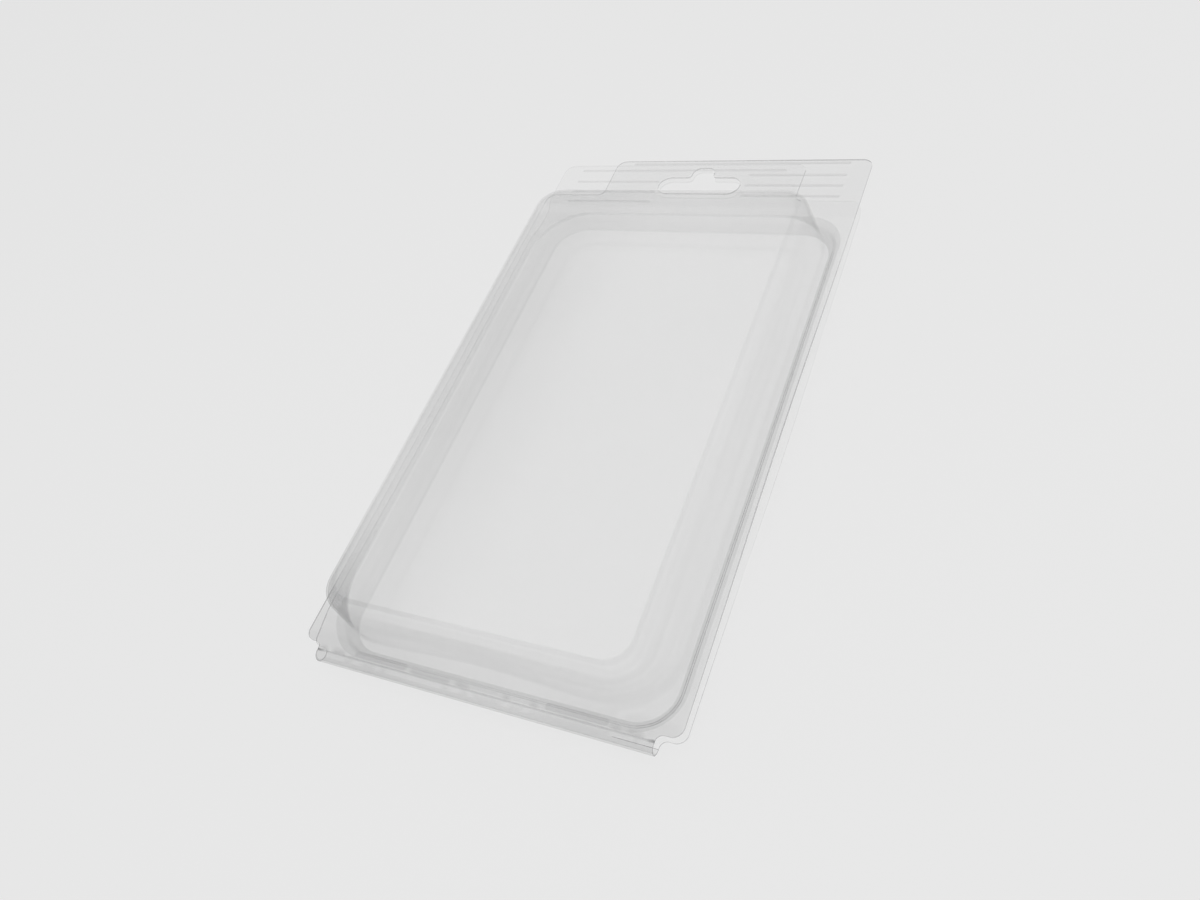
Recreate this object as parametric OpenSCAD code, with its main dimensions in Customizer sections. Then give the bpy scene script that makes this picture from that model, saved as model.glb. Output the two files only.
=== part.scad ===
// Clear clamshell pack with a hang tab, thermoformed from one sheet and folded shut.
// The front half carries a deep blister, the back half a shallow tray. A round hinge fold along
// the bottom edge joins them, and each half carries its own side of it up to the fold line.
// The pack lies on its back: X runs across it, Y towards the hang tab, Z out of its front face.

/* [Sheet] */
// Thickness of the formed sheet
sheet_t = 0.5; // [0.35:0.05:0.7]
// Clear space between the two closed flanges
flange_gap = 3.9; // [2.5:0.1:5]
// Inside radius of the bends in the sheet
bend_r = 0.8; // [0.4:0.1:1]

/* [Front blister] */
// Width of the blister at its foot
blister_w = 111; // [95:1:150]
// Length of the blister at its foot
blister_l = 180; // [140:1:240]
// Height of the front face above the flange
blister_h = 17; // [14:0.5:40]
// Corner radius of the foot
foot_r = 20; // [10:0.5:24]
// Inward lean of the two side walls, from the foot to the front face
side_draft = 5.7; // [2:0.1:8]
// Inward lean of the wall at the hinge end
hinge_draft = 2.4; // [1:0.1:6]
// Inward lean of the wall at the tab end
tab_draft = 4.5; // [1:0.1:7]
// Corner radius of the wall where it reaches the front face
face_r = 7.5; // [5:0.5:14]
// Rounding between the walls and the front face
rim_r = 4; // [2.5:0.1:6]

/* [Back tray] */
// Depth of the tray below its flange
tray_depth = 4.8; // [4.2:0.1:12]
// Distance of the tray's mouth outside the blister's foot, at the sides
tray_side_reach = 0.5; // [0:0.1:2]
// Distance of the tray's mouth outside the blister's foot, at the hinge end
tray_hinge_reach = 2.4; // [0:0.1:2.8]
// Distance of the tray's mouth outside the blister's foot, at the tab end
tray_tab_reach = 4; // [0:0.1:4.5]
// Corner radius of the tray's mouth
tray_r = 12.5; // [9:0.5:16]
// Inward lean of the tray's walls
tray_draft = 1.2; // [0.5:0.1:2.5]
// Rounding between the tray's walls and its floor
tray_rim_r = 1.8; // [1.2:0.1:3]
// Height of the raised panel in the tray's floor
panel_h = 0.8; // [0.4:0.1:1.2]
// Width of the flat border around the raised panel
panel_border = 9; // [6:0.5:16]
// Width of the slope at the raised panel's edge
panel_slope = 3; // [1.5:0.1:5]
// Corner radius of the raised panel's foot
panel_r = 9; // [6:0.5:12]

/* [Flanges] */
// Width of the flange beside the blister's foot
flange_margin = 5.5; // [4:0.1:10]
// Corner radius at the hinge end of the flanges
corner_r = 3.1; // [2.5:0.1:3.8]
// How far the corners stand below the blister's foot
corner_drop = 3.4; // [3:0.1:3.8]
// Width of the strip between the blister's foot and the hinge fold
strip_w = 5.9; // [5.9:0.1:9]
// Length of the two bars pressed into the front strip
bar_l = 18.5; // [8:0.5:24]
// Distance between the middles of the two bars
bar_spacing = 64; // [40:1:70]
// Distance of the bars' middle line from the blister's foot
bar_drop = 4; // [3:0.1:4.1]
// Width of a bar
bar_w = 1.8; // [1.6:0.1:2]
// Height of a bar
bar_h = 0.4; // [0.3:0.1:1.2]

/* [Hinge] */
// Length of the hinge fold
hinge_l = 109.2; // [70:0.2:112]
// Width of the crease in the front strip beside the fold
crease_w = 0.6; // [0.4:0.1:0.7]
// Depth of the crease
crease_d = 0.15; // [0.1:0.05:0.2]
// Distance from the crease to the start of the fold
crease_gap = 0.1; // [0.05:0.05:0.15]
// Slit between the two halves of the fold at the fold line
fold_slit = 0.16; // [0.1:0.02:0.3]
// Radius of the relief between the fold's end and the flange's corner
relief_r = 2.1; // [1:0.1:2.4]

/* [Hang tab] */
// Height of the tab above the blister's foot
tab_h = 29.4; // [28:0.1:45]
// Corner radius of the tab
tab_r = 3.7; // [2:0.1:6]
// Width of the corner cut away from each tab, on opposite sides
cut_w = 23.7; // [12:0.1:30]
// Height of the corner cut away
cut_h = 18.8; // [10:0.1:22]
// Radius inside the cut corner
cut_r = 2.5; // [1:0.1:5]
// Length of the hang slot
slot_w = 32; // [28:0.5:36]
// Height of the hang slot's ends
slot_h = 8.6; // [7:0.1:9]
// Distance of the slot's middle line below the tab's top edge
slot_drop = 13.6; // [12.6:0.1:15]
// Width of the hump over the slot
hump_w = 8.6; // [7:0.1:12]
// Height of the hump above the slot's ends
hump_h = 5.2; // [4.2:0.1:6]
// Radius of the hump's top corners
hump_r = 3; // [1.5:0.1:3.4]
// Radius where the hump meets the slot
hump_foot_r = 1.5; // [0.5:0.1:2]

/* [Tab ribs] */
// Width of a rib
rib_w = 2.4; // [1.8:0.1:3]
// Height of a rib
rib_h = 0.5; // [0.3:0.1:1.2]
// Distance of the long rib's middle line below the tab's top edge
long_rib_drop = 2.2; // [1.8:0.1:2.6]
// Distance of the first short rib's middle line below the tab's top edge
short_rib_drop = 8.5; // [7:0.1:10]
// Distance from one short rib to the next
rib_pitch = 5.4; // [3.5:0.1:5.8]
// Number of short ribs beside the slot
rib_count = 3; // [1:1:3]
// Distance from a rib's end to the tab's side or cut edge
rib_end_gap = 6.6; // [4:0.1:10]
// Distance from a short rib's end to the slot
rib_slot_gap = 1.3; // [0.8:0.1:4]

/* [Hidden] */
eps = 0.01;
arc_steps = 8;
corner_steps = 10;
rim_steps = 5;
bend_steps = 2;
bead_steps = 3;
bead_sweep = 80;
roll_faces = 64;
sheet_colour = [0.86, 0.9, 0.92, 0.35];

// Heights of the two sheets, from the underside of the tray's floor
back_top = sheet_t + tray_depth;
back_low = back_top - sheet_t;
front_low = back_top + flange_gap;
front_top = front_low + sheet_t;

// Flange outline, measured from the lower end of the blister's foot
flange_x = blister_w / 2 + flange_margin;
tab_y = blister_l + tab_h;
cut_y = tab_y - cut_h;
cut_x = flange_x - cut_w;

// Hinge fold: a half-round bend of the sheet from one flange to the other
fold_r = flange_gap / 2 + sheet_t;
fold_z = (back_top + front_low) / 2;
crease_r = (crease_w * crease_w / 4 + crease_d * crease_d) / (2 * crease_d);

// Middle of the pack along Y, which becomes the origin
mid_y = (tab_y - strip_w - fold_r) / 2;

// Lean of a blister wall, from its draft
function lean(draft) = atan(draft / blister_h);

// Inset of a blister wall at a height above the flange. Here and below, g is how far the surface
// lies inside the sheet's outer face: 0 for the outside, sheet_t for the inside
function wall_line(z, draft, g) = z * tan(lean(draft)) + g / cos(lean(draft));
function rim_centre(draft, g) = wall_line(blister_h - rim_r, draft, g) + (rim_r - g) / cos(lean(draft));
function wall_inset(z, draft, g) =
    let (up = z - (blister_h - rim_r), r = rim_r - g)
    up <= r * sin(lean(draft)) ? wall_line(z, draft, g)
        : rim_centre(draft, g) - sqrt(max(0, r * r - up * up));

// Heights of the rings that follow a blister wall and its rounded rim
function wall_heights(g) =
    let (low = lean(min(side_draft, hinge_draft, tab_draft)), r = rim_r - g)
    concat([-g],
           [for (i = [0:rim_steps]) blister_h - rim_r + r * sin(low + (90 - low) * i / rim_steps)]);

// A bend of the sheet at row b, between rows a and c, reaching a size along both
function along(b, a, size) = b + (a - b) * min(0.5, size / norm([a[0] - b[0], a[4] - b[4]]));
function bend(a, b, c, size) =
    let (from = along(b, a, size), to = along(b, c, size))
    [for (i = [0:bend_steps]) let (t = i / bend_steps)
        (1 - t) * (1 - t) * from + 2 * t * (1 - t) * b + t * t * to];

// Rows of [side inset, hinge end inset, tab end inset, corner radius, height] for the blister,
// from its foot to its face
function blister_rows(g) =
    let (mouth = [-bend_r, -bend_r, -bend_r, foot_r + bend_r, -g],
         wall = [for (z = wall_heights(g))
             [wall_inset(z, side_draft, g), wall_inset(z, hinge_draft, g), wall_inset(z, tab_draft, g),
              foot_r + (face_r - foot_r) * (z + g) / blister_h - g, z]])
    concat([mouth + [0, 0, 0, 0, g - sheet_t - (g > 0 ? eps : 0)]],
           bend(2 * mouth - wall[0], wall[0], wall[1], bend_r + g),
           [for (i = [1:len(wall) - 1]) wall[i]]);

// Inset of the tray's wall at a height above the floor's underside, for its outside or inside
function tray_inset(z, g) =
    let (r = tray_rim_r - g, low = tray_rim_r - z)
    tray_draft * (back_top - z) / back_top + g
        + (low > 0 ? r - sqrt(max(0, r * r - low * low)) : 0);
function tray_row(z, g) =
    let (inset = tray_inset(z, g))
    [inset, inset, inset, tray_r - inset / 2, z];
function tray_rows(g) =
    let (rim = [for (i = [0:rim_steps])
             tray_row(tray_rim_r - (tray_rim_r - g) * cos(90 * i / rim_steps), g)],
         mouth = tray_row(back_low + g, g),
         flare = bend_r + g,
         out = mouth + [-flare, -flare, -flare, flare, 0])
    concat(rim,
           bend(rim[rim_steps], mouth, 2 * out - mouth, flare),
           [out + [0, 0, 0, 0, sheet_t - g + (g > 0 ? eps : 0)]]);

// Rows of the raised panel, from its foot on the border to its flat top
function panel_rows(grow) =
    [[-grow, -grow, -grow, panel_r + grow, grow ? 0 : -eps],
     [0, 0, 0, panel_r, grow],
     [panel_slope, panel_slope, panel_slope, panel_r - panel_slope / 2, panel_h + grow]];

// Points along an arc
function arc(x, y, r, from, to, steps = arc_steps) =
    [for (i = [0:steps]) let (a = from + (to - from) * i / steps) [x + r * cos(a), y + r * sin(a)]];

// A closed ring of points: a rectangle with round corners, at one height
function round_ring(half_w, y0, y1, r, z) =
    [for (c = [[1, y0 + r, -90], [1, y1 - r, 0], [-1, y1 - r, 90], [-1, y0 + r, 180]])
        for (p = arc(c[0] * (half_w - r), c[1], r, c[2], c[2] + 90, corner_steps)) [p[0], p[1], z]];

// A closed ring of points with two round ends, for a bead along X
function bead_ring(half_l, r, z) =
    [for (p = concat(arc(half_l - r, 0, r, -90, 90), arc(r - half_l, 0, r, 90, 270))) [p[0], p[1], z]];

// A solid skinned over a stack of rings, the lowest first
module loft(rings) {
    n = len(rings[0]);
    last = (len(rings) - 1) * n;
    sides = [for (k = [0:len(rings) - 2]) for (i = [0:n - 1])
        [k * n + i, (k + 1) * n + i, (k + 1) * n + (i + 1) % n, k * n + (i + 1) % n]];
    caps = [[for (i = [0:n - 1]) i], [for (i = [n - 1:-1:0]) last + i]];
    polyhedron(points = [for (ring = rings) each ring], faces = concat(sides, caps));
}

// A stack of round rectangles that shrinks by the insets of its rows
module stack(half_w, y0, y1, rows) {
    loft([for (row = rows) round_ring(half_w - row[0], y0 + row[1], y1 - row[2], row[3], row[4])]);
}

// A half-round pressed bead of a length, width and height, standing on z = 0
module bead(l, w, h) {
    loft(concat([bead_ring(l / 2, w / 2, -sheet_t)],
        [for (i = [0:bead_steps]) let (a = bead_sweep * i / bead_steps)
            bead_ring(l / 2 - w / 2 * (1 - cos(a)), w / 2 * cos(a), h * sin(a) / sin(bead_sweep))]));
}

// The groove behind a pressed bead, which keeps the sheet at its thickness
module groove(l, w, h) {
    inner_w = w - 2 * sheet_t * w / (w + h);
    intersection() {
        translate([0, 0, -sheet_t])
            bead(l - w + inner_w, inner_w, h);
        translate([-l, -w, -sheet_t - eps])
            cube([2 * l, 2 * w, sheet_t + 2 * h]);
    }
}

// Right-hand edge of a flange from the hinge up to the side, as an outline
function hinge_corner() = concat(
    [[hinge_l / 2, -strip_w]],
    arc(hinge_l / 2 + relief_r, -corner_drop - relief_r, relief_r, 180, 90),
    arc(flange_x - corner_r, corner_r - corner_drop, corner_r, -90, 0));

// Top of a flange with its full corner on the right and its cut corner on the left
function tab_edge() = concat(
    arc(flange_x - tab_r, tab_y - tab_r, tab_r, 0, 90),
    arc(tab_r - cut_x, tab_y - tab_r, tab_r, 90, 180),
    arc(-cut_x - cut_r, cut_y + cut_r, cut_r, 0, -90),
    arc(tab_r - flange_x, cut_y - tab_r, tab_r, 90, 180));

function flipped(points) = [for (i = [len(points) - 1:-1:0]) [-points[i][0], points[i][1]]];

// Flat outline of a flange, with the hang slot open
module flange_shape() {
    difference() {
        polygon(concat(hinge_corner(), tab_edge(), flipped(hinge_corner())));
        translate([0, tab_y - slot_drop])
            slot_shape();
    }
}

// Hang slot: a long hole with round ends and a hump over its middle
module slot_shape() {
    end_r = slot_h / 2;
    polygon(concat(
        arc(slot_w / 2 - end_r, 0, end_r, -90, 90),
        arc(hump_w / 2 + hump_foot_r, end_r + hump_foot_r, hump_foot_r, 270, 180),
        arc(hump_w / 2 - hump_r, end_r + hump_h - hump_r, hump_r, 0, 90),
        arc(hump_r - hump_w / 2, end_r + hump_h - hump_r, hump_r, 90, 180),
        arc(-hump_w / 2 - hump_foot_r, end_r + hump_foot_r, hump_foot_r, 0, -90),
        arc(end_r - slot_w / 2, 0, end_r, 90, 270)));
}

// Places what is drawn along X at the tab's ribs, giving each its own length
module at_ribs() {
    long_l = flange_x + cut_x - 2 * rib_end_gap;
    short_x = slot_w / 2 + rib_slot_gap;
    short_l = flange_x - rib_end_gap - short_x;
    translate([(flange_x - cut_x) / 2, tab_y - long_rib_drop, 0]) {
        $rib_l = long_l;
        children();
    }
    for (i = [0:rib_count - 1])
        translate([short_x + short_l / 2, tab_y - short_rib_drop - i * rib_pitch, 0]) {
            $rib_l = short_l;
            children();
        }
}

// Places what is drawn along X at the two bars in the strip by the hinge
module at_bars() {
    for (side = [-1, 1])
        translate([side * bar_spacing / 2, -bar_drop, 0])
            children();
}

// Half of the hinge fold, above the fold line, from the edge of its flange
module hinge_half() {
    translate([0, -strip_w, 0])
        rotate([90, 0, 90])
            linear_extrude(hinge_l, center = true)
                difference() {
                    circle(r = fold_r, $fn = roll_faces);
                    circle(r = fold_r - sheet_t, $fn = roll_faces);
                    translate([-2 * fold_r, fold_slit / 2 - 2 * fold_r])
                        square([2 * fold_r, 2 * fold_r]);
                    translate([0, -2 * fold_r])
                        square([2 * fold_r, 4 * fold_r]);
                }
}

// The groove that creases the front strip beside the fold, below z = 0
module crease() {
    translate([0, crease_gap + crease_w / 2 - strip_w, crease_r - crease_d])
        rotate([0, 90, 0])
            cylinder(r = crease_r, h = hinge_l + 2 * relief_r, center = true, $fn = roll_faces);
}

// Front half: flange, hang tab with its ribs, blister and upper side of the hinge fold
module front_shell() {
    color(sheet_colour)
        translate([0, -mid_y, 0]) {
            translate([0, 0, front_top])
                difference() {
                    union() {
                        translate([0, 0, -sheet_t])
                            linear_extrude(sheet_t)
                                flange_shape();
                        stack(blister_w / 2, 0, blister_l, blister_rows(0));
                        at_ribs()
                            bead($rib_l, rib_w, rib_h);
                        at_bars()
                            bead(bar_l, bar_w, bar_h);
                    }
                    stack(blister_w / 2, 0, blister_l, blister_rows(sheet_t));
                    at_ribs()
                        groove($rib_l, rib_w, rib_h);
                    at_bars()
                        groove(bar_l, bar_w, bar_h);
                    crease();
                }
            translate([0, 0, fold_z])
                hinge_half();
        }
}

// Back half: flange, hang tab cut on the other side, tray with its panel and lower side of the fold
module back_shell() {
    tray_x = blister_w / 2 + tray_side_reach;
    tray_low = -tray_hinge_reach;
    tray_high = blister_l + tray_tab_reach;
    panel_inset = tray_draft + panel_border;
    panel_x = tray_x - panel_inset;
    panel_low = tray_low + panel_inset;
    panel_high = tray_high - panel_inset;
    color(sheet_colour)
        translate([0, -mid_y, 0]) {
            difference() {
                union() {
                    difference() {
                        union() {
                            translate([0, 0, back_low])
                                linear_extrude(sheet_t)
                                    mirror([1, 0])
                                        flange_shape();
                            stack(tray_x, tray_low, tray_high, tray_rows(0));
                        }
                        stack(tray_x, tray_low, tray_high, tray_rows(sheet_t));
                    }
                    stack(panel_x, panel_low, panel_high, panel_rows(sheet_t));
                    translate([0, 0, back_low])
                        mirror([0, 0, 1])
                            mirror([1, 0, 0])
                                at_ribs()
                                    bead($rib_l, rib_w, rib_h);
                }
                stack(panel_x, panel_low, panel_high, panel_rows(0));
                translate([0, 0, back_low])
                    mirror([0, 0, 1])
                        mirror([1, 0, 0])
                            at_ribs()
                                groove($rib_l, rib_w, rib_h);
            }
            translate([0, 0, fold_z])
                mirror([0, 0, 1])
                    hinge_half();
        }
}

front_shell();
back_shell();
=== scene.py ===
"""Looks of a clear clamshell pack: one formed sheet, folded shut at its hinge, on a pale floor."""
import math

import bmesh
import bpy
import numpy as np
from mathutils import Matrix, Vector, geometry


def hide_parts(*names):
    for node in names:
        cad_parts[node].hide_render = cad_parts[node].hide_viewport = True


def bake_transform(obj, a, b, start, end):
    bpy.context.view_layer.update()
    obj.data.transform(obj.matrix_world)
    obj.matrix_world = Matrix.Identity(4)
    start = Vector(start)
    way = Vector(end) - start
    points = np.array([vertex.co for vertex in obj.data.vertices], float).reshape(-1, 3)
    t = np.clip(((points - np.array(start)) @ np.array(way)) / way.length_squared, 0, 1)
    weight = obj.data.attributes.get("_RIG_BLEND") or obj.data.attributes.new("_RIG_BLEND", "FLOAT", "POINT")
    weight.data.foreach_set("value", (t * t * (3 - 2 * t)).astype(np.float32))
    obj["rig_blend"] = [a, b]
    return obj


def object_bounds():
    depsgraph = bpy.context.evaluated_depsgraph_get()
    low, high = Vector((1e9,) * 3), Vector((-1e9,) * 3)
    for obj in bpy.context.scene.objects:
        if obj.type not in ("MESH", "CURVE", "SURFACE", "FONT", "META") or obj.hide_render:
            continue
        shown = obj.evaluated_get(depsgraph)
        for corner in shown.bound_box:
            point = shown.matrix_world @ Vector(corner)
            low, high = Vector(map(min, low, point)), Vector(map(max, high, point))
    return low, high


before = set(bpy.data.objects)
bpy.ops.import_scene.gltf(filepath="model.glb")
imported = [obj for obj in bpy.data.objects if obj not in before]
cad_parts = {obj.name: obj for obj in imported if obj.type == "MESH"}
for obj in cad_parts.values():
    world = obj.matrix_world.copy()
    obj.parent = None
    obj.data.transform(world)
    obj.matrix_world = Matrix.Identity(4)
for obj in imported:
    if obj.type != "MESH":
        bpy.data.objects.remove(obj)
cad_low, cad_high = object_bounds()

# Metres in a millimetre: every size of the sheet below is in millimetres, as on the part's drawing
MM = 0.001

# Formed sheet
SHEET_T = 0.5
FLANGE_GAP = 3.9
BEND_R = 0.8

# Front blister
FLANGE_MARGIN = 5.5
FOOT_R = 20.0
SIDE_DRAFT = 5.7
HINGE_DRAFT = 2.4
TAB_DRAFT = 4.5
FACE_R = 7.5
RIM_R = 4.0

# Back tray and the raised panel in its floor
TRAY_DEPTH = 4.8
TRAY_SIDE_REACH = 0.5
TRAY_HINGE_REACH = 2.4
TRAY_TAB_REACH = 4.0
TRAY_R = 12.5
TRAY_DRAFT = 1.2
TRAY_RIM_R = 1.8
TRAY_FLARE = 1.4
PANEL_H = 0.8
PANEL_BORDER = 9.0
PANEL_SLOPE = 3.0
PANEL_R = 9.0
PANEL_BEND = 1.5

# Flange corners, and the strip with its two bars beside the hinge
CORNER_R = 3.1
CORNER_DROP = 3.4
STRIP_W = 5.9
BAR_L = 18.5
BAR_SPACING = 64.0
BAR_DROP = 4.0
BAR_W = 1.8
BAR_H = 0.4

# Hinge fold and the crease beside it
HINGE_L = 109.2
CREASE_W = 0.6
CREASE_D = 0.15
CREASE_GAP = 0.1
RELIEF_R = 2.1

# Hang tab, its slot and its ribs
TAB_H = 29.4
TAB_R = 3.7
CUT_W = 23.7
CUT_H = 18.8
CUT_R = 2.5
SLOT_W = 32.0
SLOT_H = 8.6
SLOT_DROP = 13.6
HUMP_W = 8.6
HUMP_H = 5.2
HUMP_R = 3.0
HUMP_FOOT_R = 1.5
RIB_W = 2.4
RIB_H = 0.5
LONG_RIB_DROP = 2.2
SHORT_RIB_DROP = 8.5
RIB_PITCH = 5.4
RIB_COUNT = 3
RIB_END_GAP = 6.6
RIB_SLOT_GAP = 1.3

# How the sheet has warped: the right-hand edges of the flanges curl apart halfway along the pack, the
# left-hand ones droop, the back tab lies up against the front one, and the wall by the hinge bows in
FRONT_CURL = 1.6
BACK_CURL = -1.9
CURL_POWER = 1.5
LEFT_DROOP = -0.8
LEFT_LIFT = 1.6
TAB_LIFT = 2.4
TAB_LIFT_RUN = 6.0
END_BOW = 1.3

# Fineness of the mesh
ARC_STEPS = 14
CORNER_STEPS = 22
SIDE_STEPS = 72
END_STEPS = 40
BEND_STEPS = 8
RIM_STEPS = 12
WALL_STEPS = 8
FACE_STEPS = 14
RIB_STEPS = 9
ROLL_STEPS = 32
CREASE_STEPS = 6
RUN_STEP = 2.2
INNER_STEP = 2.2
EDGE_CLEARANCE = 0.9
SUPPORT = 0.2
FOOT_SPREAD = 1.6
CREST_RINGS = 3
CREST_SHARE = 0.25
WELD = 1e-3
CLOSE = 1e-6
SHARP_ANGLE = 40.0

# Painted shade at a place, as two shares: a broad one, and a line one along bends, creases, ribs and bars
FLAT = (0.0, 0.0)
BACK_RIM = (0.1, 0.0)
RIM = (1.0, 0.0)
WALL_SHADE = (1.0, 0.0)
FOOT = (0.8, 0.3)
TRAY_MOUTH = (1.0, 0.3)
TRAY_WALL = (1.0, 0.45)
PANEL = (0.12, 0.0)
# Painted shade lines: along the crease and strongest at its ends, over the bars, along the ribs and round
# the fold
CREASE_SHADE = (0.9, 1.0)
CREASE_END_SHADE = (0.9, 4.0)
BAR_SHADE = (0.9, 0.6)
LONG_RIB = (1.0, 1.0)
RIB = (1.0, 0.9)
BACK_RIB = (0.4, 0.8)
FOLD_SHADE = (0.95, 0.15)

# How the front half's painted shade is graded: from the hinge to the tab, at the corner left of the hinge,
# across the pack, over the face where it is darker to the left, across the tab, and in the strip
HINGE_GRADE = 1.4
TAB_GRADE = 0.55
CORNER_GRADE = 0.9
CORNER_REACH = 50.0
LEFT_GRADE = 0.08
FACE_BASE = 0.35
FACE_GRADE = 1.3
FACE_LINE = 5.0
FACE_REACH = 45.0
TAB_TILT = 0.7
STRIP_GRADE = 0.6

# How the painted shade is eased at the far side (painted light from that side), by the left-hand wall and
# the tab end, and in the tray there
FAR_REACH = 25.0
FAR_EASE = 0.92
TAB_END_SHARE = 0.8
TRAY_EASE = 0.15
BORDER_GRADE = 0.3

# How dark the cut edges are painted: painted shade along them
FRONT_EDGE = 0.25
BACK_EDGE = 0.9

# Share of dark grey blended into the film at each face, as painted shade: a little everywhere, more where
# the broad shade mark is set, most where it is seen at a slant in place of the reflections there, and
# painted shade lines along its bends and creases
FLAT_SHARE = 0.014
PAINTED_SHADE_SHARE = 0.045
SLANT_SHARE = 0.36
SLANT_FLOOR = 0.15
SLANT_POWER = 4.0
BEND_SHADE_SHARE = 0.12
FILM_ALPHA = 0.15
# Greys of the painted shade in the film, with clouds between them
FILM_SHADE_DARK = (0.15, 0.152, 0.154, 1)
FILM_SHADE_LIGHT = (0.25, 0.252, 0.254, 1)
FILM_ROUGHNESS = (0.05, 0.15)

# Cut edge: its painted shade, from a light to a dark grey, and its matt roughness
EDGE_ALPHA = 0.4
EDGE_SHARE = (0.08, 0.45)
EDGE_TINT = (0.20, 0.203, 0.206, 1)
EDGE_LIGHT = (0.50, 0.503, 0.506, 1)
EDGE_ROUGHNESS = (0.3, 0.6)

# Noise in the materials: streaks in the painted shade, clouds in the film and nicks in the cut edge
NOISE_RANGE = (0.3, 0.7)
EVEN = (1, 1, 1)
STREAK_STRETCH = (1, 1, 40)
STREAK_SCALE = 14.0
STREAK_SPAN = (0.8, 1.15)
CLOUD_SCALE = 18.0
FILM_DETAIL = 3.0
NICK_SCALE = 900.0
NICK_DETAIL = 2.0
NICK_SPAN = (0.8, 1.2)

# The fold turns over a short height round its middle. The turn's planes rise towards the tab, so that
# they pass between the two tabs, which lie close together
TURN_HALF = 0.4
TURN_RISE = 0.0063

# Stage in metres: a pale floor just under the pack, which shows mostly as an even background
FLOOR_HALF = 6.0
FLOOR_DROP = 0.0002
FLOOR_GREY = (0.79, 0.79, 0.79, 1)
BACKGROUND_SHARE = 0.88

# Light: a soft overhead box, and heights in the sky with their greys, darker between horizon and box
BOX_POWER = 5.0
BOX_SIZE = 0.9
BOX_PLACE = (0.35, -0.35, 0.9)
SKY = [(0.0, 0.79), (0.35, 0.77), (0.6, 0.75), (0.85, 0.76), (0.95, 0.79)]

# Faces of film that light may pass before it leaves the pack
FILM_FACES = 32

# Camera at the photograph's viewing angle, in metres and degrees
CAMERA_PLACE = (0.1451, -0.1705, 0.2417)
CAMERA_AIM = (0.0069, -0.0241, 0.0097)
CAMERA_ROLL = 27.7
CAMERA_LENS = 30.06
CAMERA_NEAR = 0.01

# Sizes that follow from those above and from the frame
HALF_T = SHEET_T / 2
BACK_TOP = SHEET_T + TRAY_DEPTH
FRONT_LOW = BACK_TOP + FLANGE_GAP
FRONT_TOP = FRONT_LOW + SHEET_T
BACK_MID = BACK_TOP - HALF_T
FRONT_MID = FRONT_LOW + HALF_T
FOLD_Z = (BACK_TOP + FRONT_LOW) / 2
FLANGE_X = cad_high.x / MM
BLISTER_X = FLANGE_X - FLANGE_MARGIN
BLISTER_H = (cad_high.z - cad_low.z) / MM - FRONT_TOP
FOLD_R = FLANGE_GAP / 2 + HALF_T
TAB_Y = (cad_high.y - cad_low.y) / MM - STRIP_W - FOLD_R - HALF_T
BLISTER_L = TAB_Y - TAB_H
TRAY_X = BLISTER_X + TRAY_SIDE_REACH
TRAY_LOW = -TRAY_HINGE_REACH
TRAY_HIGH = BLISTER_L + TRAY_TAB_REACH
CUT_X = FLANGE_X - CUT_W
CUT_Y = TAB_Y - CUT_H
HINGE_X = HINGE_L / 2
CREASE_Y = CREASE_GAP + CREASE_W - STRIP_W


def smooth(t):
    """An even start and end between 0 and 1."""
    t = np.clip(t, 0.0, 1.0)
    return t * t * (3 - 2 * t)


def arc(x, y, r, start, end, steps=ARC_STEPS):
    """Points along an arc, both ends included, with its angles in degrees."""
    a = np.radians(np.linspace(start, end, steps + 1))
    return np.c_[x + r * np.cos(a), y + r * np.sin(a)]


def with_runs(points):
    """A closed outline whose long straight runs get points of their own."""
    made = []
    for a, b in zip(points, np.roll(points, -1, axis=0)):
        count = max(1, math.ceil(np.hypot(*(b - a)) / RUN_STEP - CLOSE))
        made += [a + (b - a) * i / count for i in range(count)]
    return np.array(made)


def round_rect(half_w, y0, y1, r):
    """A closed ring round a rectangle with round corners, with the same count of points at any size."""
    x = half_w - r
    corners = [(x, y0 + r, -90), (x, y1 - r, 0), (-x, y1 - r, 90), (-x, y0 + r, 180)]
    arcs = [arc(x, y, r, start, start + 90, CORNER_STEPS) for x, y, start in corners]
    ring = []
    for k, steps in enumerate((SIDE_STEPS, END_STEPS, SIDE_STEPS, END_STEPS)):
        run = np.linspace(arcs[k][-1], arcs[(k + 1) % 4][0], steps + 1)
        ring += [*arcs[k], *run[1:-1]]
    return np.array(ring)


def stadium(half_l, r):
    """A closed ring with two round ends, along X."""
    return np.vstack([arc(half_l - r, 0, r, -90, 90), arc(r - half_l, 0, r, 90, 270)])


def raised(ring, z):
    """A flat ring at a height."""
    return np.c_[ring, np.full(len(ring), z)]


def lean(draft):
    """Angle of a blister wall from upright."""
    return math.atan(draft / BLISTER_H)


def wall_inset(z, draft):
    """Inset of the middle of a blister wall and its rounded rim, at a height above the flange."""
    r = RIM_R - HALF_T
    up = z - (BLISTER_H - RIM_R)
    line = HALF_T / math.cos(lean(draft))
    if up <= r * math.sin(lean(draft)):
        return line + z * math.tan(lean(draft))
    centre = line + (BLISTER_H - RIM_R) * math.tan(lean(draft)) + r / math.cos(lean(draft))
    return centre - math.sqrt(max(0.0, r * r - up * up))


def wall_row(z):
    """Side inset, two end insets, corner radius and height of a ring round the blister's wall."""
    insets = [wall_inset(z, draft) for draft in (SIDE_DRAFT, HINGE_DRAFT, TAB_DRAFT)]
    corner = FOOT_R + (FACE_R - FOOT_R) * (z + HALF_T) / BLISTER_H - HALF_T
    return np.array([*insets, corner, z])


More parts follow.
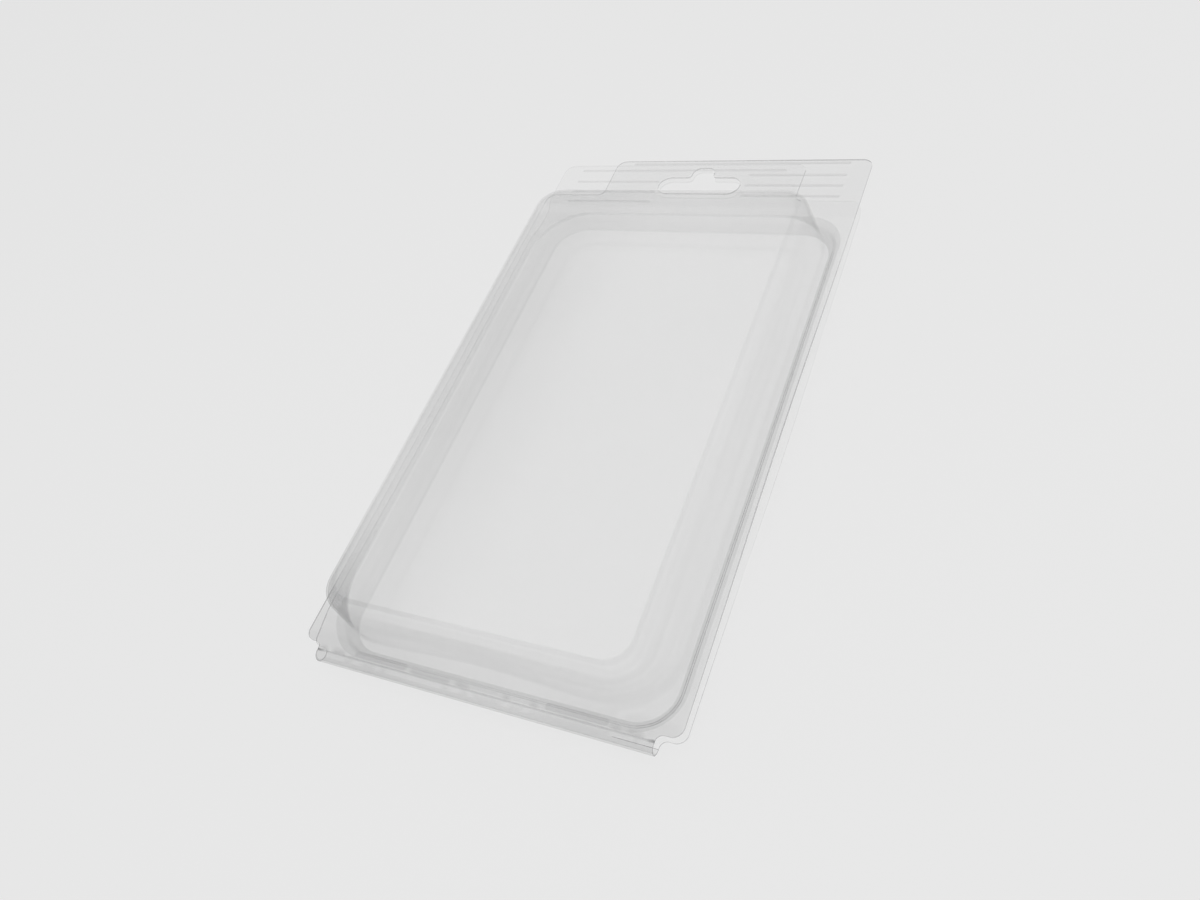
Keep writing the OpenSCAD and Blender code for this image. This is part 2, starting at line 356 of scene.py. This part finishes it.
def bend(a, b, c, size):
    """Rows through a bend of the sheet at row b, between rows a and c, reaching a size along both."""
    def along(other):
        return b + (other - b) * min(0.5, size / math.hypot(other[0] - b[0], other[4] - b[4]))
    start, end = along(a), along(c)
    turns = np.linspace(0, 1, BEND_STEPS + 1)
    return [(1 - t) ** 2 * start + 2 * t * (1 - t) * b + t * t * end for t in turns]


def between(a, b, steps):
    """Rows evenly spaced between two rows, without the two."""
    return [a + (b - a) * t for t in np.linspace(0, 1, steps + 1)[1:-1]]


def shrunk(row, inset):
    """The same row, further in."""
    return row + np.array([inset, inset, inset, -inset, 0])


def marks(*runs):
    """One mark for each row, from runs of a mark and a count."""
    return [mark for mark, count in runs for _ in range(count)]


def blister_rows():
    """Rows up the middle of the blister's sheet, from the flange to the edge of its flat face."""
    mouth = np.array([-BEND_R, -BEND_R, -BEND_R, FOOT_R + BEND_R, -HALF_T])
    low = lean(min(SIDE_DRAFT, HINGE_DRAFT, TAB_DRAFT))
    angles = np.linspace(low, math.pi / 2, RIM_STEPS + 1)
    rim = [wall_row(BLISTER_H - RIM_R + (RIM_R - HALF_T) * math.sin(a)) for a in angles]
    foot = wall_row(-HALF_T)
    foot_bend = bend(2 * mouth - foot, foot, rim[0], BEND_R + HALF_T)
    wall = between(foot_bend[-1], rim[0], WALL_STEPS)
    flange = [shrunk(mouth, -FOOT_SPREAD), shrunk(mouth, -SUPPORT)]
    rows = [*flange, *foot_bend, *wall, *rim, shrunk(rim[-1], SUPPORT)]
    foot_count, wall_count = len(foot_bend) + 1, len(wall) + len(rim) - 1
    return rows, marks((RIM, 1), (FOOT, foot_count), (WALL_SHADE, wall_count), (FLAT, 2))


def tray_row(z):
    """Row round the middle of the tray's wall, at a height above the floor's underside."""
    r = TRAY_RIM_R - HALF_T
    low = TRAY_RIM_R - z
    inset = TRAY_DRAFT * (BACK_TOP - z) / BACK_TOP + HALF_T
    if low > 0:
        inset += r - math.sqrt(max(0.0, r * r - low * low))
    return np.array([inset, inset, inset, TRAY_R - inset / 2, z])


def tray_rows():
    """Rows down the middle of the tray's sheet, from the flange to the flat border of its floor."""
    turns = np.linspace(math.pi / 2, 0, RIM_STEPS + 1)
    rim = [tray_row(TRAY_RIM_R - (TRAY_RIM_R - HALF_T) * math.cos(a)) for a in turns]
    mouth = tray_row(BACK_MID)
    flare = TRAY_FLARE + HALF_T
    out = shrunk(mouth, -flare)
    mouth_bend = bend(2 * out - mouth, mouth, rim[0], flare)
    wall = between(mouth_bend[-1], rim[0], WALL_STEPS)
    rows = [shrunk(out, -SUPPORT), *mouth_bend, *wall, *rim, shrunk(rim[-1], SUPPORT)]
    mouth_count, wall_count = len(mouth_bend), len(wall) + len(rim) - 1
    return rows, marks((BACK_RIM, 1), (TRAY_MOUTH, mouth_count), (TRAY_WALL, wall_count), (FLAT, 2))


def panel_rows():
    """Rows up the slope of the raised panel, from the tray's border to the panel's flat top."""
    foot = np.array([0.0, 0.0, 0.0, PANEL_R, HALF_T])
    top = foot + np.array([PANEL_SLOPE, PANEL_SLOPE, PANEL_SLOPE, -PANEL_SLOPE / 2, PANEL_H])
    rows = [shrunk(foot, -PANEL_BEND - SUPPORT),
            *bend(shrunk(foot, -2 * PANEL_BEND), foot, top, PANEL_BEND),
            *bend(foot, top, shrunk(top, 2 * PANEL_BEND), PANEL_BEND),
            shrunk(top, PANEL_BEND + SUPPORT)]
    return rows, marks((FLAT, 1), (PANEL, len(rows) - 2), (FLAT, 1))


def stack(half_w, y0, y1, rows, base=0.0):
    """Rings round a pocket, from rows of insets."""
    rings = []
    for side, near, far, r, z in rows:
        rings.append(raised(round_rect(half_w - side, y0 + near, y1 - far, r), base + z))
    return rings


def flat_rings(ring):
    """Rings that cover the flat inside of a ring, down to a small one at its middle."""
    centre = ring.mean(axis=0)
    return [centre + (ring - centre) * s for s in np.linspace(1, 0, FACE_STEPS + 1)[1:-1]]


def layers(bm, *names):
    """The sheet's attributes of these names."""
    return [bm.verts.layers.float[name] for name in names]


def loft(bm, rings, row_marks):
    """Skins a list of rings and closes the last one, with a mark on each ring for the shade painted on it.
    """
    drawn, bend_shade = layers(bm, "drawn", "bend_shade")
    rows = [[bm.verts.new(p) for p in ring] for ring in rings]
    for row, mark in zip(rows, row_marks):
        for v in row:
            v[drawn], v[bend_shade] = mark
    for a, b in zip(rows, rows[1:]):
        for i in range(len(a)):
            k = (i + 1) % len(a)
            bm.faces.new((a[i], a[k], b[k], b[i]))
    bm.faces.new(rows[-1])


def inside(points, outline):
    """Which of the points lie inside a closed outline."""
    a, b = outline, np.roll(outline, -1, axis=0)
    x, y = points[:, :1], points[:, 1:]
    crosses = (a[:, 1] > y) != (b[:, 1] > y)
    rise = np.where(a[:, 1] == b[:, 1], 1.0, b[:, 1] - a[:, 1])
    at = a[:, 0] + (y - a[:, 1]) * (b[:, 0] - a[:, 0]) / rise
    return (crosses & (x < at)).sum(axis=1) % 2 == 1


def on_sheet(points, outline, holes):
    """Which of the points lie inside an outline and outside its holes."""
    keep = inside(points, outline)
    for hole in holes:
        keep &= ~inside(points, hole)
    return keep


def inner_points(outline, holes):
    """Evenly spaced points on a flat sheet, clear of its edges."""
    spans = [np.arange(low, high, INNER_STEP) for low, high in zip(outline.min(axis=0), outline.max(axis=0))]
    grid = np.stack(np.meshgrid(*spans), -1).reshape(-1, 2)
    edges = np.vstack([outline, *holes])
    clear = np.linalg.norm(grid[:, None] - edges[None], axis=2).min(axis=1) > EDGE_CLEARANCE
    return grid[clear & on_sheet(grid, outline, holes)]


def fill(bm, outline, holes, z, mark):
    """A flat sheet between an outline and its holes, at a height."""
    coords, edges = [], []
    for loop in (outline, *holes):
        first, n = len(coords), len(loop)
        coords += [Vector(p) for p in loop]
        edges += [(first + i, first + (i + 1) % n) for i in range(n)]
    coords += [Vector(p) for p in inner_points(outline, holes)]
    points, _, faces, *_ = geometry.delaunay_2d_cdt(coords, edges, [], 0, CLOSE)
    flat = np.array([p[:] for p in points])
    centres = np.array([flat[list(f)].mean(axis=0) for f in faces])
    verts = [bm.verts.new((x, y, z)) for x, y in flat]
    drawn, bend_shade = layers(bm, "drawn", "bend_shade")
    for v in verts:
        v[drawn], v[bend_shade] = mark
    for face, kept in zip(faces, on_sheet(centres, outline, holes)):
        if kept:
            bm.faces.new([verts[i] for i in face])


def flange_outline(strip_y):
    """Outline of a flange with its cut corner on the left, from the edge of its hinge strip round."""
    corner = np.vstack([
        [[HINGE_X, strip_y]],
        arc(HINGE_X + RELIEF_R, -CORNER_DROP - RELIEF_R, RELIEF_R, 180, 90),
        arc(FLANGE_X - CORNER_R, CORNER_R - CORNER_DROP, CORNER_R, -90, 0)])
    tab = np.vstack([
        arc(FLANGE_X - TAB_R, TAB_Y - TAB_R, TAB_R, 0, 90),
        arc(TAB_R - CUT_X, TAB_Y - TAB_R, TAB_R, 90, 180),
        arc(-CUT_X - CUT_R, CUT_Y + CUT_R, CUT_R, 0, -90),
        arc(TAB_R - FLANGE_X, CUT_Y - TAB_R, TAB_R, 90, 180)])
    return with_runs(np.vstack([corner, tab, corner[::-1] * [-1, 1]]))


def slot_outline():
    """Outline of the hang slot: a long hole with round ends and a hump over its middle."""
    end_r = SLOT_H / 2
    half = np.vstack([
        arc(SLOT_W / 2 - end_r, 0, end_r, -90, 90),
        arc(HUMP_W / 2 + HUMP_FOOT_R, end_r + HUMP_FOOT_R, HUMP_FOOT_R, 270, 180),
        arc(HUMP_W / 2 - HUMP_R, end_r + HUMP_H - HUMP_R, HUMP_R, 0, 90)])
    return with_runs(np.vstack([half, half[::-1] * [-1, 1]]) + [0, TAB_Y - SLOT_DROP])


def rib_places():
    """Middle and length of each rib pressed into a tab, the long one first."""
    short_x = SLOT_W / 2 + RIB_SLOT_GAP
    short_l = FLANGE_X - RIB_END_GAP - short_x
    long_rib = ((FLANGE_X - CUT_X) / 2, TAB_Y - LONG_RIB_DROP, FLANGE_X + CUT_X - 2 * RIB_END_GAP)
    first_y = TAB_Y - SHORT_RIB_DROP
    return [long_rib] + [(short_x + short_l / 2, first_y - i * RIB_PITCH, short_l) for i in range(RIB_COUNT)]


def bead_rings(x, y, length, width, height, base):
    """Rings over a pressed bead along X, from the flat sheet round it to its crest."""
    rings = [(width / 2 + SUPPORT, 0.0)]
    for t in np.linspace(0, 1, RIB_STEPS + 1)[:-1]:
        rings.append((width / 2 * (1 - t), height * float(smooth(t))))
    rings.append((width / 2 / RIB_STEPS * CREST_SHARE, height))
    over = (length - width) / 2
    return [raised(stadium(over + r, r) + [x, y], base + rise) for r, rise in rings]


def add_beads(bm, beads, flat, own, crest):
    """Pressed beads, with the mark of the sheet round them and one of their own on their crest's rings."""
    for rings in beads:
        loft(bm, rings, marks((flat, len(rings) - crest), (own, crest)))


def holes_for(*stacks):
    """The holes that pockets and beads need in the flat sheet: the outermost ring of each."""
    return [rings[0][:, :2] for rings in stacks]


def front_half(bm):
    """Flange, hang tab, ribs, bars and blister of the front half."""
    rows, row_marks = blister_rows()
    blister = stack(BLISTER_X, 0, BLISTER_L, rows, FRONT_TOP)
    ribs = [bead_rings(x, y, l, RIB_W, RIB_H, FRONT_MID) for x, y, l in rib_places()]
    bar_places = (-BAR_SPACING / 2, BAR_SPACING / 2)
    bars = [bead_rings(x, -BAR_DROP, BAR_L, BAR_W, BAR_H, FRONT_MID) for x in bar_places]
    holes = [*holes_for(blister), slot_outline(), *holes_for(*ribs, *bars)]
    fill(bm, flange_outline(CREASE_Y), holes, FRONT_MID, RIM)
    face = flat_rings(blister[-1])
    loft(bm, [*blister, *face], row_marks + marks((FLAT, len(face))))
    add_beads(bm, ribs[:1], RIM, LONG_RIB, CREST_RINGS)
    add_beads(bm, ribs[1:], RIM, RIB, CREST_RINGS)
    add_beads(bm, bars, RIM, BAR_SHADE, RIB_STEPS + 1)


def back_half(bm):
    """Flange, hang tab, ribs, tray and raised panel of the back half, with the tab cut on the other side."""
    mirror = np.array([-1, 1])
    rows, row_marks = tray_rows()
    tray = stack(TRAY_X, TRAY_LOW, TRAY_HIGH, rows)
    inset = TRAY_DRAFT + PANEL_BORDER
    slope, slope_marks = panel_rows()
    panel = stack(TRAY_X - inset, TRAY_LOW + inset, TRAY_HIGH - inset, slope)
    ribs = [bead_rings(-x, y, l, RIB_W, -RIB_H, BACK_MID) for x, y, l in rib_places()]
    outline = (flange_outline(-STRIP_W) * mirror)[::-1]
    slot = (slot_outline() * mirror)[::-1]
    fill(bm, outline, [*holes_for(tray), slot, *holes_for(*ribs)], BACK_MID, BACK_RIM)
    floor_rings = flat_rings(panel[-1])
    loft(bm, [*tray, *panel, *floor_rings], row_marks + slope_marks + marks((FLAT, len(floor_rings))))
    add_beads(bm, ribs, BACK_RIM, BACK_RIB, CREST_RINGS)


def hinge_fold(bm):
    """Crease, its painted shade strongest at its ends, and half-round fold that lead from the front flange
    to the back one.
    """
    dip = np.linspace(0, 1, CREASE_STEPS + 1)
    crease = np.c_[CREASE_Y - CREASE_W * dip, FRONT_MID - CREASE_D * np.sin(math.pi * dip) ** 2]
    profile = np.vstack([crease, arc(-STRIP_W, FOLD_Z, FOLD_R, 90, 270, ROLL_STEPS)])
    across = np.linspace(-HINGE_X, HINGE_X, math.ceil(HINGE_L / RUN_STEP) + 1)
    columns = [[bm.verts.new((x, y, z)) for y, z in profile] for x in across]
    drawn, bend_shade = layers(bm, "drawn", "bend_shade")
    for column in columns:
        crease_mark = CREASE_END_SHADE if column in (columns[0], columns[-1]) else CREASE_SHADE
        for k, v in enumerate(column):
            v[drawn], v[bend_shade] = crease_mark if k <= CREASE_STEPS else FOLD_SHADE
    for a, b in zip(columns, columns[1:]):
        for i in range(len(profile) - 1):
            bm.faces.new((a[i], b[i], b[i + 1], a[i + 1]))


def curl(v):
    """How far a point of a flange has curled, most halfway along its long edges."""
    along = math.sin(math.pi * min(1, max(0, v.y / BLISTER_L))) ** 2
    front = v.z > FOLD_Z
    start = (BLISTER_X if front else TRAY_X) + BEND_R
    out = max(0.0, abs(v.x) - start) / (FLANGE_X - start)
    right = FRONT_CURL if front else BACK_CURL
    return (LEFT_DROOP if v.x < 0 else right) * along * out ** CURL_POWER


def back_lift(v):
    """How far a point of the back half has lifted: its left-hand edge between the ends, and its tab."""
    left = smooth((-v.x - TRAY_X + TRAY_R) / TRAY_R)
    between_ends = smooth((v.y - TRAY_LOW) / TRAY_R) * smooth((BLISTER_L - v.y) / TRAY_R)
    tab = smooth((v.y - TRAY_HIGH - BEND_R) / TAB_LIFT_RUN)
    return float(LEFT_LIFT * v.z / BACK_MID * left * between_ends + TAB_LIFT * tab)


def end_bow(v):
    """How far a point of the front half's wall by the hinge has bowed in, most at its foot."""
    up = min(1, max(0, (v.z - FRONT_TOP) / BLISTER_H))
    near_end = 1 - float(smooth((v.y + BEND_R) / FOOT_R))
    across = max(0.0, 1 - (v.x / (BLISTER_X - FOOT_R)) ** 2)
    return END_BOW * across ** 2 * near_end * (1 - up)


def warp(bm):
    """Bends the straight sheet as the real one has warped."""
    for v in bm.verts:
        front = v.co.z > FOLD_Z
        v.co.z += curl(v.co)
        if not front:
            v.co.z += back_lift(v.co)
        elif v.co.y > -BEND_R:
            v.co.y += end_bow(v.co)


def far_side(x, y):
    """How near a point is to the pack's left-hand wall or its tab end, between 0 and 1."""
    left = smooth((-x - TRAY_X + FAR_REACH) / FAR_REACH) * smooth(y / FAR_REACH)
    tab = smooth((y - BLISTER_L + FAR_REACH) / FAR_REACH) * smooth((TRAY_X - x) / FAR_REACH)
    return float(max(left, TAB_END_SHARE * tab))


def front_shade_grade(x, z, on_tab):
    """Painted shade added on the front half: across the pack or the tab, and over the face, more to its
    left.
    """
    across = x / FLANGE_X / 2
    tint = TAB_TILT * across if on_tab else LEFT_GRADE * (0.5 - across)
    if z > FRONT_TOP + BLISTER_H - SHEET_T:
        tint += FACE_BASE + FACE_GRADE * float(smooth((FACE_LINE - x) / FACE_REACH))
    return tint


def grade(bm):
    """Grades the painted shade over the sheet before it is warped, lighter at the far side, and sets how
    dark its cut edges are painted.
    """
    drawn, bend_shade, edge = layers(bm, "drawn", "bend_shade", "edge")
    for v in bm.verts:
        x, y, z = v.co
        along = min(1, max(0, y / BLISTER_L))
        far = far_side(x, y)
        # Painted light: the shade is eased at the far side, as if lit from there
        eased = 1 - FAR_EASE * far * (y < TRAY_HIGH + FOOT_SPREAD)
        v[bend_shade] *= eased
        if z > FOLD_Z:
            corner = CORNER_GRADE * float(smooth(1 - math.hypot(x + BLISTER_X, y) / CORNER_REACH))
            lengthwise = HINGE_GRADE + (TAB_GRADE - HINGE_GRADE) * along
            v[drawn] = v[drawn] * (eased * lengthwise + corner) + front_shade_grade(x, z, along == 1)
            v[edge] = (FRONT_EDGE + v[drawn]) * eased
            v[drawn] += STRIP_GRADE * (y < -BEND_R - SUPPORT)
        else:
            v[drawn] = v[drawn] * (1 - TRAY_EASE * far) + BORDER_GRADE * far * (z < SHEET_T)
            cut_end = x > CUT_X - HALF_T and y > CUT_Y
            v[edge] = BACK_EDGE * (1 if cut_end else 1 - FAR_EASE * max(along, far))


def sheet_mesh():
    """The middle of the whole folded sheet in millimetres, marked and graded with painted shade, and warped.
    """
    bm = bmesh.new()
    for name in ("drawn", "bend_shade", "edge"):
        bm.verts.layers.float.new(name)
    front_half(bm)
    back_half(bm)
    hinge_fold(bm)
    bmesh.ops.remove_doubles(bm, verts=bm.verts, dist=WELD)
    grade(bm)
    warp(bm)
    bmesh.ops.recalc_face_normals(bm, faces=bm.faces)
    mesh = bpy.data.meshes.new("formed_sheet")
    bm.to_mesh(mesh)
    bm.free()
    return mesh


def formed_sheet(film, edge):
    """The folded sheet as one closed mesh of an even thickness, with its cut edges in their own material."""
    mesh = sheet_mesh()
    for material in (film, edge):
        mesh.materials.append(material)
    sheet = bpy.data.objects.new("formed_sheet", mesh)
    bpy.context.scene.collection.objects.link(sheet)
    solid = sheet.modifiers.new("gauge", "SOLIDIFY")
    solid.thickness = SHEET_T
    solid.offset = 0
    solid.use_even_offset = True
    solid.use_quality_normals = True
    solid.material_offset_rim = 1
    made = bpy.data.meshes.new_from_object(sheet.evaluated_get(bpy.context.evaluated_depsgraph_get()))
    sheet.modifiers.clear()
    place = Matrix.Translation((0, cad_high.y - TAB_Y * MM, cad_low.z))
    made.transform(place @ Matrix.Diagonal((MM, MM, MM, 1)))
    made.name = "formed_sheet_solid"
    made.shade_smooth()
    made.set_sharp_from_angle(angle=math.radians(SHARP_ANGLE))
    sheet.data = made
    return sheet


def new_material(name):
    """A new material and its node tree."""
    material = bpy.data.materials.new(name)
    material.use_nodes = True
    return material, material.node_tree


def attribute(tree, name):
    """The value of one of the sheet's own attributes."""
    made = tree.nodes.new("ShaderNodeAttribute")
    made.attribute_name = name
    return made.outputs["Fac"]


def noise(tree, stretch, scale, detail):
    """Noise over the sheet, stretched along its axes."""
    coords = tree.nodes.new("ShaderNodeTexCoord")
    mapping = tree.nodes.new("ShaderNodeMapping")
    mapping.inputs["Scale"].default_value = stretch
    tree.links.new(coords.outputs["Object"], mapping.inputs["Vector"])
    made = tree.nodes.new("ShaderNodeTexNoise")
    made.inputs["Scale"].default_value = scale
    made.inputs["Detail"].default_value = detail
    tree.links.new(mapping.outputs["Vector"], made.inputs["Vector"])
    return made.outputs["Fac"]


def span(tree, value, source, target):
    """A value mapped from one span to another, and held at its ends."""
    made = tree.nodes.new("ShaderNodeMapRange")
    names = ("From Min", "From Max", "To Min", "To Max")
    for name, number in zip(names, (*source, *target)):
        made.inputs[name].default_value = number
    tree.links.new(value, made.inputs["Value"])
    return made.outputs["Result"]


def combined(tree, operation, *values):
    """Several values taken together, one after the other, each a socket or a number."""
    total = values[0]
    for value in values[1:]:
        made = tree.nodes.new("ShaderNodeMath")
        made.operation = operation
        tree.links.new(total, made.inputs[0])
        if isinstance(value, float):
            made.inputs[1].default_value = value
        else:
            tree.links.new(value, made.inputs[1])
        total = made.outputs[0]
    return total


def tinted(tree, share, low, high):
    """A colour between two others."""
    made = tree.nodes.new("ShaderNodeMix")
    made.data_type = "RGBA"
    for name, colour in (("A", low), ("B", high)):
        socket = next(k for k in made.inputs if k.name == name and k.type == "RGBA")
        socket.default_value = colour
    tree.links.new(share, made.inputs[0])
    return next(k for k in made.outputs if k.type == "RGBA")


def clear_sheet():
    """Clear glossy film with painted shade: dark grey blended in, graded over the pack, in lines along its
    bends, and most where it is seen at a slant.
    """
    material, tree = new_material("clear_sheet")
    shader = tree.nodes["Principled BSDF"]
    shader.inputs["Alpha"].default_value = FILM_ALPHA
    drawn, bend_shade = attribute(tree, "drawn"), attribute(tree, "bend_shade")
    streaks = span(tree, noise(tree, STREAK_STRETCH, STREAK_SCALE, FILM_DETAIL), NOISE_RANGE, STREAK_SPAN)
    clouds = span(tree, noise(tree, EVEN, CLOUD_SCALE, FILM_DETAIL), NOISE_RANGE, (0.0, 1.0))
    # Painted shade where the film is seen at a slant, in place of the reflections there
    facing = tree.nodes.new("ShaderNodeLayerWeight").outputs["Facing"]
    slant = combined(tree, "POWER", facing, SLANT_POWER)
    strength = span(tree, drawn, (0.0, 1.0), (SLANT_FLOOR, 1.0))
    share = combined(
        tree, "ADD",
        combined(tree, "MULTIPLY", slant, strength, SLANT_SHARE),
        combined(tree, "MULTIPLY", drawn, streaks, PAINTED_SHADE_SHARE),
        combined(tree, "MULTIPLY", bend_shade, BEND_SHADE_SHARE),
        FLAT_SHARE)
    tree.links.new(share, shader.inputs["Alpha"])
    tree.links.new(tinted(tree, clouds, FILM_SHADE_DARK, FILM_SHADE_LIGHT), shader.inputs["Base Color"])
    tree.links.new(span(tree, clouds, (0.0, 1.0), FILM_ROUGHNESS), shader.inputs["Roughness"])
    return material


def cut_edge():
    """The sheet's cut edge, which the die left matt with fine nicks along it, with painted shade along it
    that follows the sheet's.
    """
    material, tree = new_material("cut_edge")
    shader = tree.nodes["Principled BSDF"]
    shader.inputs["Alpha"].default_value = EDGE_ALPHA
    nicks = noise(tree, EVEN, NICK_SCALE, NICK_DETAIL)
    # Painted shade along the edge, broken by its nicks
    nicks_and_edge_shade = combined(tree, "MULTIPLY", attribute(tree, "edge"), span(tree, nicks, NOISE_RANGE, NICK_SPAN))
    tree.links.new(span(tree, nicks_and_edge_shade, (0.0, 1.0), EDGE_SHARE), shader.inputs["Alpha"])
    tree.links.new(tinted(tree, nicks_and_edge_shade, EDGE_LIGHT, EDGE_TINT), shader.inputs["Base Color"])
    tree.links.new(span(tree, nicks, NOISE_RANGE, EDGE_ROUGHNESS), shader.inputs["Roughness"])
    return material


def pale_floor():
    """Matt pale grey that shows mostly as an even background, and keeps part of the pack's shadow."""
    material, tree = new_material("pale_floor")
    tree.nodes.clear()
    path = tree.nodes.new("ShaderNodeLightPath").outputs
    rays = ("Is Camera Ray", "Is Glossy Ray", "Is Transmission Ray")
    seen = combined(tree, "MAXIMUM", *[path[name] for name in rays])
    mix = tree.nodes.new("ShaderNodeMixShader")
    tree.links.new(combined(tree, "MULTIPLY", seen, BACKGROUND_SHARE), mix.inputs[0])
    for k, kind in enumerate(("ShaderNodeBsdfDiffuse", "ShaderNodeEmission")):
        surface = tree.nodes.new(kind)
        surface.inputs["Color"].default_value = FLOOR_GREY
        tree.links.new(surface.outputs[0], mix.inputs[k + 1])
    out = tree.nodes.new("ShaderNodeOutputMaterial")
    tree.links.new(mix.outputs[0], out.inputs["Surface"])
    return material


def pale_stage():
    """The floor that the pack lies on."""
    mesh = bpy.data.meshes.new("floor")
    z = cad_low.z - FLOOR_DROP
    corners = [(x * FLOOR_HALF, y * FLOOR_HALF, z) for x, y in ((-1, -1), (1, -1), (1, 1), (-1, 1))]
    mesh.from_pydata(corners, [], [(0, 1, 2, 3)])
    mesh.materials.append(pale_floor())
    made = bpy.data.objects.new("floor", mesh)
    bpy.context.scene.collection.objects.link(made)
    return made


def studio_sky():
    """An even world, with a grey for each height."""
    world = bpy.data.worlds.new("studio")
    bpy.context.scene.world = world
    world.use_nodes = True
    tree = world.node_tree
    coords = tree.nodes.new("ShaderNodeTexCoord")
    split = tree.nodes.new("ShaderNodeSeparateXYZ")
    ramp = tree.nodes.new("ShaderNodeValToRGB")
    tree.links.new(coords.outputs["Generated"], split.inputs[0])
    tree.links.new(split.outputs["Z"], ramp.inputs[0])
    tree.links.new(ramp.outputs[0], tree.nodes["Background"].inputs["Color"])
    elements = ramp.color_ramp.elements
    while len(elements) < len(SKY):
        elements.new(0.5)
    for element, (height, grey) in zip(elements, SKY):
        element.position = height
        element.color = (grey, grey, grey, 1)


def overhead_box():
    """A soft box over the pack, which isn't mirrored in the film."""
    light = bpy.data.lights.new("overhead_box", "AREA")
    light.energy = BOX_POWER
    light.size = BOX_SIZE
    made = bpy.data.objects.new("overhead_box", light)
    made.location = BOX_PLACE
    made.visible_glossy = False
    made.visible_transmission = False
    bpy.context.scene.collection.objects.link(made)


def photo_camera():
    """A camera where the photograph was taken."""
    lens = bpy.data.cameras.new("camera")
    lens.lens = CAMERA_LENS
    lens.clip_start = CAMERA_NEAR
    made = bpy.data.objects.new("camera", lens)
    toward = Vector(CAMERA_AIM) - Vector(CAMERA_PLACE)
    roll = Matrix.Rotation(math.radians(-CAMERA_ROLL), 3, "Z")
    turned = toward.to_track_quat("-Z", "Y").to_matrix() @ roll
    made.matrix_world = Matrix.Translation(CAMERA_PLACE) @ turned.to_4x4()
    bpy.context.scene.collection.objects.link(made)
    return made


sheet = formed_sheet(clear_sheet(), cut_edge())
turn_low = Vector((0, cad_low.y, (FOLD_Z - TURN_HALF) * MM))
turn = Vector((0, -TURN_RISE, 1)) * 2 * TURN_HALF * MM
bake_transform(sheet, "back", "front", start=turn_low, end=turn_low + turn)
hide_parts("front_shell", "back_shell")

floor = pale_stage()
studio_sky()
overhead_box()
scene = bpy.context.scene
scene.camera = photo_camera()
scene.cycles.transparent_max_bounces = FILM_FACES
scene.view_settings.view_transform = "Standard"
